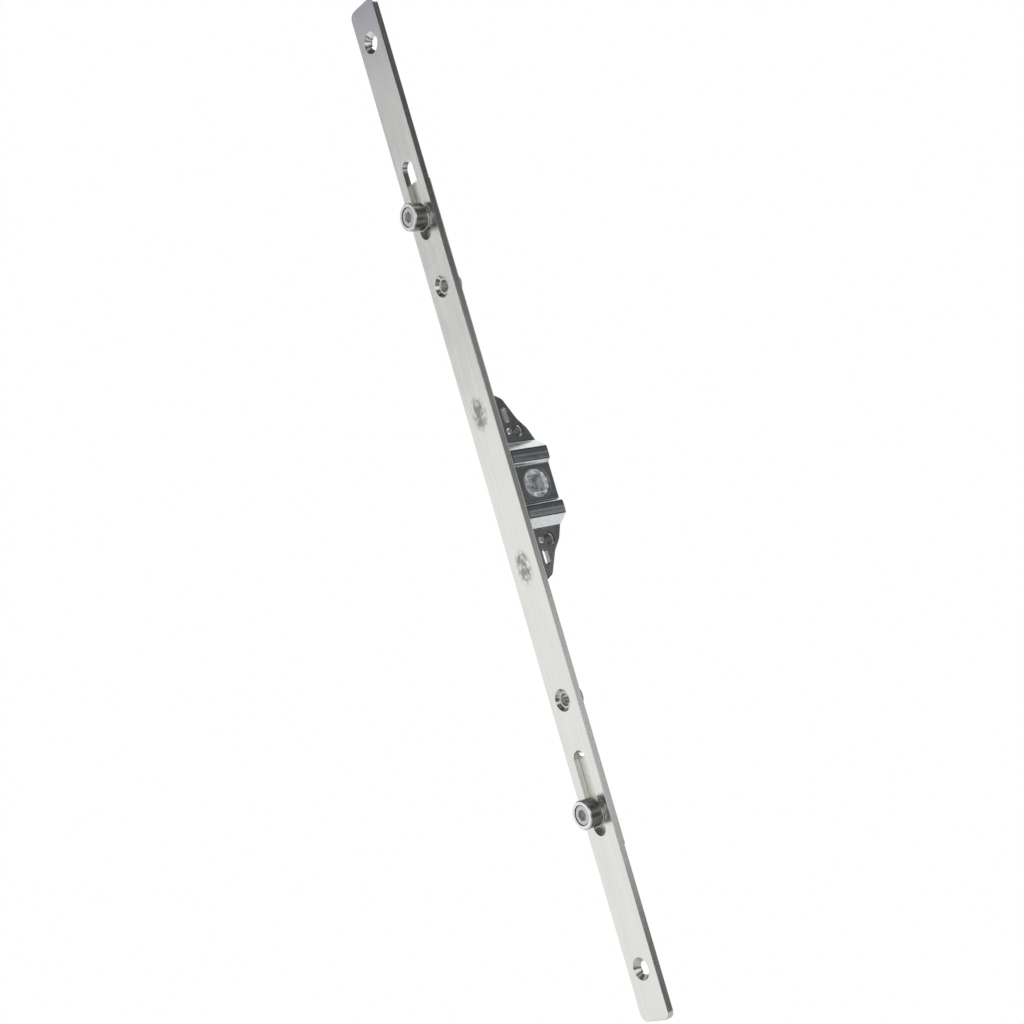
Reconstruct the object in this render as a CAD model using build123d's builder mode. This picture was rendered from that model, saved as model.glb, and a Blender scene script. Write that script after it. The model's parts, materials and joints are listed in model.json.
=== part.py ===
from build123d import *
import math
import os

os.makedirs("parts", exist_ok=True)

# Frame: +Z runs up the faceplate, +X points from the faceplate to the spindle,
# -Y is the near side of the case, and the origin is the centre of the spindle.

# Faceplate
BACKSET = 15.0
PLATE_WIDTH = 16.0
PLATE_THICKNESS = 2.4
PLATE_TOP_MARGIN = 15.7
PLATE_BOTTOM_MARGIN = 18.9
PLATE_CORNER_RADIUS = 3.0
PLATE_EDGE_CHAMFER = 0.25
END_SCREW_PITCH = 362.0
MIDDLE_SCREW_PITCH = 162.0
SCREW_HOLE_DIAMETER = 5.0
SCREW_HEAD_DIAMETER = 8.5
SCREW_HEAD_ANGLE = 90.0
CAM_SLOT_PITCH = 232.0
CAM_SLOT_LENGTH = 32.0
CAM_SLOT_WIDTH = 7.0

# Travel of the gear
STROKE = 18.0
TURN = 90.0
SLIDE_GAP = 0.1

# Drive rail
RAIL_WIDTH = 11.0
RAIL_THICKNESS = 2.5
RAIL_END_MARGIN = 14.6
RAIL_REST_CENTRE = -6.8
RAIL_CORNER_RADIUS = 1.2
RAIL_EDGE_CHAMFER = 0.2
GUIDE_END_GAP = 0.3
GUIDE_SLOT_WIDTH = 7.0
LUG_END_GAP = 0.8
LUG_SLOT_WIDTH = 2.6
RACK_WINDOW_WIDTH = 4.8
RACK_TIP_RADIUS = 0.3

# Gear sector and rack
TOOTH_PITCH = 6.0
TOOTH_COUNT = 4
PRESSURE_ANGLE = 20.0
BACKLASH = 0.15
SECTOR_TIP_RADIUS = 12.3
SECTOR_ROOT_RADIUS = 9.8
SECTOR_THICKNESS = 4.1
SECTOR_MARGIN = 14.0
TOOTH_ROOT_FILLET = 0.3
HUB_FILLET = 1.2
FLANK_STEPS = 5

# Follower hub
JOURNAL_DIAMETER = 11.6
JOURNAL_NEAR_FACE = 2.9
JOURNAL_FAR_FACE = 4.1
JOURNAL_CLEARANCE = 0.05
JOURNAL_CHAMFER = 0.3
SPINDLE_SQUARE = 7.0
SPINDLE_DEPTH = 6.2
SPINDLE_LEAD_IN = 0.35
SOCKET_CORNER_RADIUS = 0.4
DETENT_FLAT_DISTANCE = 5.2

# Pressed case halves
SHEET = 1.0
CASE_FRONT = -9.3
CASE_BACK = 8.6
RIB_RISE = 4.8
RIB_CROWN = 0.15
FLOOR_RISE = 3.2
WING_END = 36.4
SLOPE_FOOT = 16.9
RIB_OUTER = 13.3
RIB_INNER = 8.3
FLOOR_HALF = 7.1
CONVEX_BEND = 1.25
SLOPE_FOOT_BEND = 1.0
FLOOR_BEND = 0.6
CASE_EDGE_CHAMFER = 0.5
CAVITY_LENGTH = 30.0
CAVITY_HALF_HEIGHT = 16.3
CAVITY_CORNER_RADIUS = 4.0
CUP_BORE = 11.7
CUP_FLOOR = 4.2
CUP_EDGE_CHAMFER = 0.5
TONGUE_SLOT_LENGTH = 6.0
TONGUE_SLOT_WIDTH = 2.5
TONGUE_SLOT_X = -4.0
TONGUE_SLOT_Z = 27.9
SHOULDER_Z = 13.9
SHOULDER_RADIUS = 6.0
WING_X = 5.0
WING_Z = 22.0
WING_RADIUS = 8.0
WAIST_X = 1.4
WAIST_Z = 26.2
WAIST_RADIUS = 8.0
NOSE_X = -2.9
NOSE_Z = 34.6
NOSE_RADIUS = 3.5
TIP_X = -6.2

# Lugs that hold the case to the faceplate
LUG_CENTRE = 30.0
LUG_LENGTH = 10.4
TENON_LENGTH = 8.6
TENON_FIT = 0.05
STAKE_LOBE_DIAMETER = 4.4
STAKE_LOBE_PITCH = 5.3
STAKE_WAIST = 2.7
STAKE_DEPTH = 0.7
STAKE_HEIGHT = 0.15
STAKE_FIT = 0.03

# Handle screws and rivets of the case
HANDLE_SCREW_PITCH = 43.0
HANDLE_SCREW_HOLE = 5.0
BUSH_SPIGOT_DIAMETER = 5.0
BUSH_DIAMETER = 6.0
BUSH_BORE = 4.2
BUSH_REACH = 6.0
BUSH_CHAMFER = 0.3
RIVET_X = -4.2
RIVET_Z = 21.4
RIVET_SHANK_DIAMETER = 1.6
RIVET_HEAD_DIAMETER = 2.5
RIVET_HEAD_HEIGHT = 0.5
RIVET_HEAD_CHAMFER = 0.3

# Rail guides in the middle screw holes
GUIDE_SPIGOT_DIAMETER = 6.2
GUIDE_BORE = 4.8
GUIDE_SHANK_DIAMETER = 6.6
GUIDE_FLANGE_DIAMETER = 9.6
GUIDE_FLANGE_THICKNESS = 1.0
GUIDE_SIDE_GAP = 0.2
GUIDE_CHAMFER = 0.2

# Detent spring
SPRING_THICKNESS = 0.5
SPRING_WIDTH = 4.0
SPRING_HALF_LENGTH = 12.4
SPRING_FOOT = 1.2
SPRING_GAP = 0.1

# Cams: eccentric stud, roller and washers
CAM_ECCENTRICITY = 0.8
STUD_JOURNAL_DIAMETER = 5.0
STUD_CLEARANCE = 0.05
STUD_END_GAP = 0.05
STUD_NECK_DIAMETER = 6.4
STUD_TAIL_DIAMETER = 7.0
STUD_TAIL_THICKNESS = 0.8
TAIL_CHAMFER = 0.35
PIN_DIAMETER = 6.0
PIN_HEAD_DIAMETER = 7.4
PIN_HEAD_RECESS = 0.25
PIN_HEAD_CHAMFER = 0.2
HEX_ACROSS_FLATS = 4.0
HEX_DEPTH = 2.0
ROLLER_DIAMETER = 10.8
ROLLER_HEIGHT = 6.5
ROLLER_CLEARANCE = 0.05
ROLLER_END_GAP = 0.1
ROLLER_RECESS_DIAMETER = 7.8
ROLLER_RECESS_DEPTH = 0.9
ROLLER_CHAMFER = 0.35
SLIDE_WASHER_DIAMETER = 9.8
SLIDE_WASHER_THICKNESS = 0.6
SLIDE_WASHER_GAP = 0.15
SPRING_WASHER_DIAMETER = 8.0
SPRING_WASHER_THICKNESS = 0.6
WASHER_CHAMFER = 0.12

# Positions that follow from the values above
PLATE_LENGTH = END_SCREW_PITCH + PLATE_TOP_MARGIN + PLATE_BOTTOM_MARGIN
PLATE_CENTRE = (PLATE_TOP_MARGIN - PLATE_BOTTOM_MARGIN) / 2
RAIL_LENGTH = CAM_SLOT_PITCH + 2 * RAIL_END_MARGIN
GUIDE_SLOT_LENGTH = STROKE + GUIDE_SHANK_DIAMETER + 2 * GUIDE_END_GAP
LUG_SLOT_LENGTH = STROKE + LUG_LENGTH + 2 * LUG_END_GAP
PLATE_FRONT = -BACKSET
PLATE_BACK = PLATE_FRONT + PLATE_THICKNESS
RAIL_FRONT = PLATE_BACK + SLIDE_GAP
RAIL_BACK = RAIL_FRONT + RAIL_THICKNESS
PITCH_RADIUS = STROKE / math.radians(TURN)
BASE_RADIUS = PITCH_RADIUS * math.cos(math.radians(PRESSURE_ANGLE))
SCREW_SINK_DEPTH = (SCREW_HEAD_DIAMETER - GUIDE_SPIGOT_DIAMETER) / 2
STUD_HEIGHTS = {
    "upper": RAIL_REST_CENTRE + CAM_SLOT_PITCH / 2 - CAM_ECCENTRICITY,
    "lower": RAIL_REST_CENTRE - CAM_SLOT_PITCH / 2 - CAM_ECCENTRICITY,
}
ENDS = {"upper": 1, "lower": -1}
NEAR = -1
FAR = 1

front_plane = Plane(origin=(PLATE_FRONT, 0, 0), x_dir=(0, -1, 0), z_dir=(-1, 0, 0))
rail_plane = Plane.YZ.offset(RAIL_FRONT)
case_plane = Plane.YZ.offset(CASE_FRONT)


def stake_outline(growth):
    """Two overlapping punch lobes joined by a waist, above and below the middle."""
    for end in ENDS.values():
        with Locations((0, end * LUG_CENTRE)):
            Rectangle(STAKE_WAIST + 2 * growth, STAKE_LOBE_PITCH)
        for lobe in (-1, 1):
            with Locations((0, end * LUG_CENTRE + lobe * STAKE_LOBE_PITCH / 2)):
                Circle(STAKE_LOBE_DIAMETER / 2 + growth)


# Faceplate with countersunk screw holes, cam slots and staking holes
with BuildPart(front_plane) as faceplate:
    with BuildSketch(front_plane):
        with Locations((0, PLATE_CENTRE)):
            RectangleRounded(PLATE_WIDTH, PLATE_LENGTH, PLATE_CORNER_RADIUS)
    extrude(amount=-PLATE_THICKNESS)
    chamfer(faceplate.faces().sort_by(Axis.X)[0].edges(), PLATE_EDGE_CHAMFER)
    with Locations((0, END_SCREW_PITCH / 2), (0, -END_SCREW_PITCH / 2)):
        CounterSinkHole(SCREW_HOLE_DIAMETER / 2, SCREW_HEAD_DIAMETER / 2,
                        counter_sink_angle=SCREW_HEAD_ANGLE)
    with Locations((0, MIDDLE_SCREW_PITCH / 2), (0, -MIDDLE_SCREW_PITCH / 2)):
        CounterSinkHole(GUIDE_SPIGOT_DIAMETER / 2, SCREW_HEAD_DIAMETER / 2,
                        counter_sink_angle=SCREW_HEAD_ANGLE)
    with BuildSketch(front_plane):
        with Locations((0, CAM_SLOT_PITCH / 2), (0, -CAM_SLOT_PITCH / 2)):
            SlotOverall(CAM_SLOT_LENGTH, CAM_SLOT_WIDTH, rotation=90)
    extrude(amount=-PLATE_THICKNESS, mode=Mode.SUBTRACT)
    with BuildSketch(front_plane):
        with Locations((0, LUG_CENTRE), (0, -LUG_CENTRE)):
            Rectangle(2 * (SHEET + TENON_FIT), TENON_LENGTH + 2 * TENON_FIT)
    extrude(amount=-PLATE_THICKNESS, mode=Mode.SUBTRACT)
    with BuildSketch(front_plane):
        stake_outline(STAKE_FIT)
    extrude(amount=-STAKE_DEPTH, mode=Mode.SUBTRACT)


def bend_profile(side, base):
    """Corrugated cross-section of one case half, closed by a line at height base."""
    with BuildSketch() as profile:
        with BuildLine():
            wing = Polyline((side * base, 0), (side * base, WING_END), (side * SHEET, WING_END),
                            (side * SHEET, SLOPE_FOOT), (side * RIB_RISE, RIB_OUTER))
            crown = ThreePointArc(wing @ 1,
                                  (side * (RIB_RISE + RIB_CROWN), (RIB_OUTER + RIB_INNER) / 2),
                                  (side * RIB_RISE, RIB_INNER))
            Polyline(crown @ 1, (side * FLOOR_RISE, FLOOR_HALF), (side * FLOOR_RISE, 0))
            mirror(about=Plane.XZ)
        make_face()
        for height, half_length, radius in (
            (RIB_RISE, RIB_OUTER, CONVEX_BEND),
            (RIB_RISE, RIB_INNER, CONVEX_BEND),
            (SHEET, SLOPE_FOOT, SLOPE_FOOT_BEND),
            (FLOOR_RISE, FLOOR_HALF, FLOOR_BEND),
        ):
            bends = [
                corner for corner in profile.vertices()
                if math.hypot(abs(corner.X) - height, abs(corner.Y) - half_length) < 0.01
            ]
            fillet(bends, radius)
    return profile.sketch


def case_outline():
    """Side view of the case: straight back, rounded shoulders, waist and tongues."""
    corners = (
        (CASE_BACK, SHOULDER_Z, SHOULDER_RADIUS),
        (WING_X, WING_Z, WING_RADIUS),
        (WAIST_X, WAIST_Z, WAIST_RADIUS),
        (NOSE_X, NOSE_Z, NOSE_RADIUS),
    )
    with BuildSketch() as outline:
        with BuildLine():
            Polyline((CASE_BACK, 0), *[(x, z) for x, z, radius in corners],
                     (TIP_X, WING_END), (CASE_FRONT, WING_END), (CASE_FRONT, 0))
            mirror(about=Plane.XZ)
        make_face()
        for x, z, radius in corners:
            rounded = [
                corner for corner in outline.vertices()
                if math.hypot(corner.X - x, abs(corner.Y) - z) < 0.01
            ]
            fillet(rounded, radius)
    return outline.sketch


def pressed_half(side):
    """One pressed case half with its lugs, wing slots and rivet holes."""
    outer_bends = bend_profile(side, 0)
    inner_bends = bend_profile(side, -2 * SHEET)
    outline = case_outline()
    with BuildPart() as cavity:
        with BuildSketch(case_plane):
            add(inner_bends)
            offset(amount=-SHEET, mode=Mode.REPLACE)
        extrude(amount=CASE_BACK - CASE_FRONT)
        with BuildSketch(Plane.XZ):
            with Locations((CASE_BACK - SHEET - CAVITY_LENGTH / 2, 0)):
                RectangleRounded(CAVITY_LENGTH, 2 * CAVITY_HALF_HEIGHT, CAVITY_CORNER_RADIUS)
        extrude(amount=2 * RIB_RISE, both=True, mode=Mode.INTERSECT)
    with BuildPart() as half:
        with BuildSketch(case_plane):
            add(outer_bends)
        extrude(amount=CASE_BACK - CASE_FRONT)
        with BuildSketch(Plane.XZ):
            add(outline)
        extrude(amount=2 * RIB_RISE, both=True, mode=Mode.INTERSECT)
        back_edges = half.faces().sort_by(Axis.X)[-1].edges()
        chamfer([edge for edge in back_edges if abs(edge.center().Y) > FLOOR_RISE - 0.1],
                CASE_EDGE_CHAMFER)
        add(cavity.part, mode=Mode.SUBTRACT)
        with BuildSketch(Plane.XZ):
            for end in ENDS.values():
                with Locations((CASE_FRONT, end * LUG_CENTRE)):
                    Rectangle(2 * (CASE_FRONT - PLATE_BACK), LUG_LENGTH)
                with Locations((PLATE_BACK, end * LUG_CENTRE)):
                    Rectangle(2 * PLATE_THICKNESS, TENON_LENGTH)
        extrude(amount=-side * SHEET)
        with BuildSketch(front_plane.offset(STAKE_FIT - STAKE_DEPTH)):
            stake_outline(0)
            with Locations((-side * PLATE_WIDTH / 2, 0)):
                Rectangle(PLATE_WIDTH, 4 * LUG_CENTRE, mode=Mode.INTERSECT)
        extrude(amount=STAKE_DEPTH - STAKE_FIT + STAKE_HEIGHT)
        with BuildSketch(Plane.XZ):
            with Locations((TONGUE_SLOT_X, -TONGUE_SLOT_Z)):
                SlotOverall(TONGUE_SLOT_LENGTH, TONGUE_SLOT_WIDTH, rotation=90)
            with Locations((RIVET_X, RIVET_Z), (RIVET_X, -RIVET_Z)):
                Circle(RIVET_SHANK_DIAMETER / 2)
        extrude(amount=2 * SHEET, both=True, mode=Mode.SUBTRACT)
    return half


near_blank = pressed_half(NEAR)
far_blank = pressed_half(FAR)

# Near half: round window for the follower, clearance holes for the handle screws,
# and an upper tongue slot that the far half backs
with BuildPart() as near_shell:
    add(near_blank.part)
    with BuildSketch(Plane.XZ):
        Circle(JOURNAL_DIAMETER / 2 + JOURNAL_CLEARANCE)
        with Locations((0, HANDLE_SCREW_PITCH / 2), (0, -HANDLE_SCREW_PITCH / 2)):
            Circle(HANDLE_SCREW_HOLE / 2)
        with Locations((TONGUE_SLOT_X, TONGUE_SLOT_Z)):
            SlotOverall(TONGUE_SLOT_LENGTH, TONGUE_SLOT_WIDTH, rotation=90)
    extrude(amount=2 * RIB_RISE, mode=Mode.SUBTRACT)

# Far half: drawn cup that carries the follower, and holes for the threaded bushes
with BuildPart() as far_shell:
    add(far_blank.part)
    with BuildSketch(Plane.XZ.offset(SHEET - FLOOR_RISE)):
        Circle(CUP_BORE / 2 + SHEET)
    extrude(amount=-(CUP_FLOOR - FLOOR_RISE + 2 * SHEET))
    chamfer(far_shell.faces().sort_by(Axis.Y)[-1].edges(), CUP_EDGE_CHAMFER)
    with BuildSketch(Plane.XZ):
        Circle(CUP_BORE / 2)
    extrude(amount=-CUP_FLOOR, mode=Mode.SUBTRACT)
    with BuildSketch(Plane.XZ):
        with Locations((0, HANDLE_SCREW_PITCH / 2), (0, -HANDLE_SCREW_PITCH / 2)):
            Circle(BUSH_SPIGOT_DIAMETER / 2)
    extrude(amount=-2 * SHEET, mode=Mode.SUBTRACT)

# Two rivets that close the case, one per wing
with BuildPart() as case_rivets:
    with BuildSketch(Plane.XZ):
        with Locations((RIVET_X, RIVET_Z), (RIVET_X, -RIVET_Z)):
            Circle(RIVET_SHANK_DIAMETER / 2)
    extrude(amount=SHEET, both=True)
    for side in (NEAR, FAR):
        with BuildSketch(Plane.XZ.offset(-side * SHEET)):
            with Locations((RIVET_X, RIVET_Z), (RIVET_X, -RIVET_Z)):
                Circle(RIVET_HEAD_DIAMETER / 2)
        extrude(amount=-side * RIVET_HEAD_HEIGHT)
    head_faces = case_rivets.faces().group_by(Axis.Y)
    chamfer(head_faces[0].edges() + head_faces[-1].edges(), RIVET_HEAD_CHAMFER)


def handle_bush(height):
    """Threaded bush riveted in the far half, with its axis along Y."""
    with BuildPart() as bush:
        with BuildSketch(Plane.XY.offset(height)):
            with BuildLine():
                Polyline(
                    (0, 0), (BUSH_SPIGOT_DIAMETER / 2, 0), (BUSH_SPIGOT_DIAMETER / 2, SHEET),
                    (BUSH_DIAMETER / 2, SHEET), (BUSH_DIAMETER / 2, BUSH_REACH),
                    (0, BUSH_REACH), close=True)
            make_face()
        revolve(axis=Axis((0, 0, height), (0, 1, 0)))
        chamfer(bush.faces().sort_by(Axis.Y)[-1].edges(), BUSH_CHAMFER)
        with BuildSketch(Plane.XZ):
            with Locations((0, height)):
                Circle(BUSH_BORE / 2)
        extrude(amount=-BUSH_REACH, mode=Mode.SUBTRACT)
        bore_edges = bush.faces().sort_by(Axis.Y)[0].edges().sort_by(SortBy.LENGTH)[:1]
        chamfer(bore_edges, BUSH_CHAMFER / 2)
    return bush


def rail_guide(height):
    """Hollow guide bush riveted in a middle screw hole, with its axis along X."""
    shank_end = RAIL_BACK + GUIDE_SIDE_GAP
    flange_end = shank_end + GUIDE_FLANGE_THICKNESS
    with BuildPart() as guide:
        with BuildSketch(Plane.XZ):
            with BuildLine():
                Polyline(
                    (PLATE_FRONT + SCREW_SINK_DEPTH, height + GUIDE_BORE / 2),
                    (PLATE_FRONT + SCREW_SINK_DEPTH, height + GUIDE_SPIGOT_DIAMETER / 2),
                    (PLATE_BACK, height + GUIDE_SPIGOT_DIAMETER / 2),
                    (PLATE_BACK, height + GUIDE_SHANK_DIAMETER / 2),
                    (shank_end, height + GUIDE_SHANK_DIAMETER / 2),
                    (shank_end, height + GUIDE_FLANGE_DIAMETER / 2),
                    (flange_end, height + GUIDE_FLANGE_DIAMETER / 2),
                    (flange_end, height + GUIDE_BORE / 2), close=True)
            make_face()
        revolve(axis=Axis((0, 0, height), (1, 0, 0)))
        chamfer(guide.faces().sort_by(Axis.X)[-1].edges(), GUIDE_CHAMFER)
    return guide


# Bowed leaf spring behind the hub, with flat feet on the back wall of the case
spring_seat = CASE_BACK - SHEET
spring_crest = DETENT_FLAT_DISTANCE + SPRING_GAP
with BuildPart() as detent_spring:
    with BuildSketch(Plane.XZ):
        with BuildLine():
            arc_end = SPRING_HALF_LENGTH - SPRING_FOOT
            inner_foot = spring_seat - SPRING_THICKNESS
            Line((spring_seat, -SPRING_HALF_LENGTH), (spring_seat, -arc_end))
            ThreePointArc((spring_seat, -arc_end), (spring_crest + SPRING_THICKNESS, 0),
                          (spring_seat, arc_end))
            Polyline((spring_seat, arc_end), (spring_seat, SPRING_HALF_LENGTH),
                     (inner_foot, SPRING_HALF_LENGTH), (inner_foot, arc_end))
            ThreePointArc((inner_foot, arc_end), (spring_crest, 0), (inner_foot, -arc_end))
            Polyline((inner_foot, -arc_end), (inner_foot, -SPRING_HALF_LENGTH),
                     (spring_seat, -SPRING_HALF_LENGTH))
        make_face()
    extrude(amount=SPRING_WIDTH / 2, both=True)

# Drive rail: slots for the guides and lugs, rack windows and stud holes
with BuildPart() as drive_rail:
    with BuildSketch(rail_plane):
        with Locations((0, RAIL_REST_CENTRE)):
            RectangleRounded(RAIL_WIDTH, RAIL_LENGTH, RAIL_CORNER_RADIUS)
        for end in ENDS.values():
            with Locations((0, end * MIDDLE_SCREW_PITCH / 2 - STROKE / 2)):
                SlotOverall(GUIDE_SLOT_LENGTH, GUIDE_SLOT_WIDTH, rotation=90,
                            mode=Mode.SUBTRACT)
            with Locations((0, end * LUG_CENTRE - STROKE / 2)):
                SlotOverall(LUG_SLOT_LENGTH, LUG_SLOT_WIDTH, rotation=90, mode=Mode.SUBTRACT)
        for stud_height in STUD_HEIGHTS.values():
            with Locations((0, stud_height)):
                Circle(STUD_JOURNAL_DIAMETER / 2 + STUD_CLEARANCE, mode=Mode.SUBTRACT)
    extrude(amount=RAIL_THICKNESS)
    rim_edges = drive_rail.faces().sort_by(Axis.X)[-1].outer_wire().edges()
    chamfer(rim_edges, RAIL_EDGE_CHAMFER)
    flank_slope = math.tan(math.radians(PRESSURE_ANGLE))
    window_front = RAIL_FRONT - 1
    window_back = RAIL_BACK + 1
    front_half = TOOTH_PITCH / 4 + (window_front + PITCH_RADIUS) * flank_slope
    back_half = TOOTH_PITCH / 4 + (window_back + PITCH_RADIUS) * flank_slope
    with BuildSketch(Plane.XZ):
        for index in range(TOOTH_COUNT):
            middle = index * TOOTH_PITCH - STROKE
            with BuildLine():
                Polyline((window_front, middle - front_half), (window_back, middle - back_half),
                         (window_back, middle + back_half), (window_front, middle + front_half),
                         close=True)
            make_face()
    extrude(amount=RACK_WINDOW_WIDTH / 2, both=True, mode=Mode.SUBTRACT)
    tip_edges = drive_rail.faces().sort_by(Axis.X)[-1].edges().filter_by(Axis.Y)
    fillet([edge for edge in tip_edges if edge.length < RAIL_WIDTH / 2], RACK_TIP_RADIUS)


def polar(radius, angle):
    """Point at an angle in degrees from +X towards +Z."""
    return (radius * math.cos(math.radians(angle)), radius * math.sin(math.radians(angle)))


def half_tooth_angle(radius):
    """Half width in degrees of an involute tooth at one radius."""
    pitch_half = (TOOTH_PITCH / 2 - BACKLASH) / (2 * PITCH_RADIUS)
    pressure = math.radians(PRESSURE_ANGLE)
    flank = math.acos(BASE_RADIUS / radius)
    involute = (math.tan(pressure) - pressure) - (math.tan(flank) - flank)
    return math.degrees(pitch_half + involute)


# Follower: toothed sector, hub with detent flats, two journals and a square socket
with BuildPart() as spindle_follower:
    tooth_step = TURN * TOOTH_PITCH / STROKE
    last_tooth = 180 + (TOOTH_COUNT - 1) * tooth_step
    with BuildSketch(Plane.XZ) as sector:
        Circle(SECTOR_ROOT_RADIUS)
        with BuildLine():
            Polyline((0, 0), polar(2 * BACKSET, 180 - SECTOR_MARGIN),
                     polar(3 * BACKSET, (180 + last_tooth) / 2),
                     polar(2 * BACKSET, last_tooth + SECTOR_MARGIN), close=True)
        make_face(mode=Mode.INTERSECT)
        for index in range(TOOTH_COUNT):
            centre = 180 + index * tooth_step
            radii = [
                BASE_RADIUS + (SECTOR_TIP_RADIUS - BASE_RADIUS) * step / FLANK_STEPS
                for step in range(FLANK_STEPS + 1)
            ]
            lower = [polar(radius, centre - half_tooth_angle(radius)) for radius in radii]
            upper = [polar(radius, centre + half_tooth_angle(radius)) for radius in radii]
            base_half = half_tooth_angle(BASE_RADIUS)
            with BuildLine():
                Spline(*lower)
                ThreePointArc(lower[-1], polar(SECTOR_TIP_RADIUS, centre), upper[-1])
                Spline(*reversed(upper))
                Polyline(upper[0], polar(SECTOR_ROOT_RADIUS - 1, centre + base_half),
                         polar(SECTOR_ROOT_RADIUS - 1, centre - base_half), lower[0])
            make_face()
        root_corners = [
            corner for corner in sector.vertices()
            if abs(math.hypot(corner.X, corner.Y) - SECTOR_ROOT_RADIUS) < 0.02
        ]
        fillet(root_corners, TOOTH_ROOT_FILLET)
        Circle(JOURNAL_DIAMETER / 2)
        hub_corners = [
            corner for corner in sector.vertices()
            if abs(math.hypot(corner.X, corner.Y) - JOURNAL_DIAMETER / 2) < 0.02
        ]
        fillet(hub_corners, HUB_FILLET)
        with Locations((DETENT_FLAT_DISTANCE + BACKSET / 2, 0)):
            Rectangle(BACKSET, BACKSET, mode=Mode.SUBTRACT)
        with Locations((0, DETENT_FLAT_DISTANCE + BACKSET / 2)):
            Rectangle(BACKSET, BACKSET, mode=Mode.SUBTRACT)
    extrude(amount=SECTOR_THICKNESS / 2, both=True)
    rim = JOURNAL_DIAMETER / 2
    cheek = SECTOR_THICKNESS / 2
    with BuildSketch(Plane.XY):
        with BuildLine():
            Polyline((0, -JOURNAL_NEAR_FACE), (rim - JOURNAL_CHAMFER, -JOURNAL_NEAR_FACE),
                     (rim, JOURNAL_CHAMFER - JOURNAL_NEAR_FACE), (rim, -cheek), (0, -cheek),
                     close=True)
        make_face()
        with BuildLine():
            Polyline((0, JOURNAL_FAR_FACE), (rim - JOURNAL_CHAMFER, JOURNAL_FAR_FACE),
                     (rim, JOURNAL_FAR_FACE - JOURNAL_CHAMFER), (rim, cheek), (0, cheek),
                     close=True)
        make_face()
    revolve(axis=Axis.Y)
    with BuildSketch(Plane.XZ.offset(JOURNAL_NEAR_FACE)):
        RectangleRounded(SPINDLE_SQUARE, SPINDLE_SQUARE, SOCKET_CORNER_RADIUS)
    extrude(amount=-SPINDLE_DEPTH, mode=Mode.SUBTRACT)
    socket_rim = spindle_follower.faces().sort_by(Axis.Y)[0].inner_wires()[0].edges()
    chamfer(socket_rim, SPINDLE_LEAD_IN)

# Faces of the cams along X
washer_back = PLATE_FRONT - SLIDE_WASHER_GAP
washer_front = washer_back - SLIDE_WASHER_THICKNESS
roller_back = washer_front - ROLLER_END_GAP
roller_front = PLATE_FRONT - ROLLER_HEIGHT
head_back = roller_front + ROLLER_RECESS_DEPTH - ROLLER_END_GAP
head_front = roller_front + PIN_HEAD_RECESS


def cam_stud(height):
    """Eccentric stud: riveted tail, journal, neck, eccentric pin and head with a hex socket."""
    tail_front = RAIL_BACK + SPRING_WASHER_THICKNESS + STUD_END_GAP
    tail_back = tail_front + STUD_TAIL_THICKNESS
    neck_back = RAIL_FRONT - STUD_END_GAP
    with BuildPart() as stud:
        with BuildSketch(Plane.XZ):
            with BuildLine():
                Polyline(
                    (tail_back, height), (tail_back, height + STUD_TAIL_DIAMETER / 2),
                    (tail_front, height + STUD_TAIL_DIAMETER / 2),
                    (tail_front, height + STUD_JOURNAL_DIAMETER / 2),
                    (neck_back, height + STUD_JOURNAL_DIAMETER / 2),
                    (neck_back, height + STUD_NECK_DIAMETER / 2),
                    (washer_front, height + STUD_NECK_DIAMETER / 2),
                    (washer_front, height), close=True)
            make_face()
        revolve(axis=Axis((0, 0, height), (1, 0, 0)))
        chamfer(stud.faces().sort_by(Axis.X)[-1].edges(), TAIL_CHAMFER)
        with BuildSketch(Plane.YZ.offset(washer_front)):
            with Locations((0, height + CAM_ECCENTRICITY)):
                Circle(PIN_DIAMETER / 2)
        extrude(amount=head_back - washer_front)
        with BuildSketch(Plane.YZ.offset(head_back)):
            with Locations((0, height + CAM_ECCENTRICITY)):
                Circle(PIN_HEAD_DIAMETER / 2)
        extrude(amount=head_front - head_back)
        chamfer(stud.faces().sort_by(Axis.X)[0].edges(), PIN_HEAD_CHAMFER)
        with BuildSketch(Plane.YZ.offset(head_front)):
            with Locations((0, height + CAM_ECCENTRICITY)):
                RegularPolygon(HEX_ACROSS_FLATS / 2, 6, major_radius=False)
        extrude(amount=HEX_DEPTH, mode=Mode.SUBTRACT)
    return stud


def cam_roller(height):
    """Sleeve with a recess at its outer end, round the eccentric pin."""
    axis_height = height + CAM_ECCENTRICITY
    bore = PIN_DIAMETER / 2 + ROLLER_CLEARANCE
    with BuildPart() as roller:
        with BuildSketch(Plane.XZ):
            with BuildLine():
                Polyline(
                    (roller_back, axis_height + bore),
                    (roller_back, axis_height + ROLLER_DIAMETER / 2),
                    (roller_front, axis_height + ROLLER_DIAMETER / 2),
                    (roller_front, axis_height + ROLLER_RECESS_DIAMETER / 2),
                    (roller_front + ROLLER_RECESS_DEPTH, axis_height + ROLLER_RECESS_DIAMETER / 2),
                    (roller_front + ROLLER_RECESS_DEPTH, axis_height + bore), close=True)
            make_face()
        revolve(axis=Axis((0, 0, axis_height), (1, 0, 0)))
        front_rim = roller.faces().sort_by(Axis.X)[0].outer_wire().edges()
        back_rim = roller.faces().sort_by(Axis.X)[-1].outer_wire().edges()
        chamfer(front_rim + back_rim, ROLLER_CHAMFER)
    return roller


def ring(height, start, thickness, outside, inside):
    """Flat washer with its axis along X, from start towards +X."""
    with BuildPart() as washer:
        with BuildSketch(Plane.YZ.offset(start)):
            with Locations((0, height)):
                Circle(outside / 2)
                Circle(inside / 2, mode=Mode.SUBTRACT)
        extrude(amount=thickness)
        front_rim = washer.faces().sort_by(Axis.X)[0].outer_wire().edges()
        chamfer(front_rim, WASHER_CHAMFER)
    return washer


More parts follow.
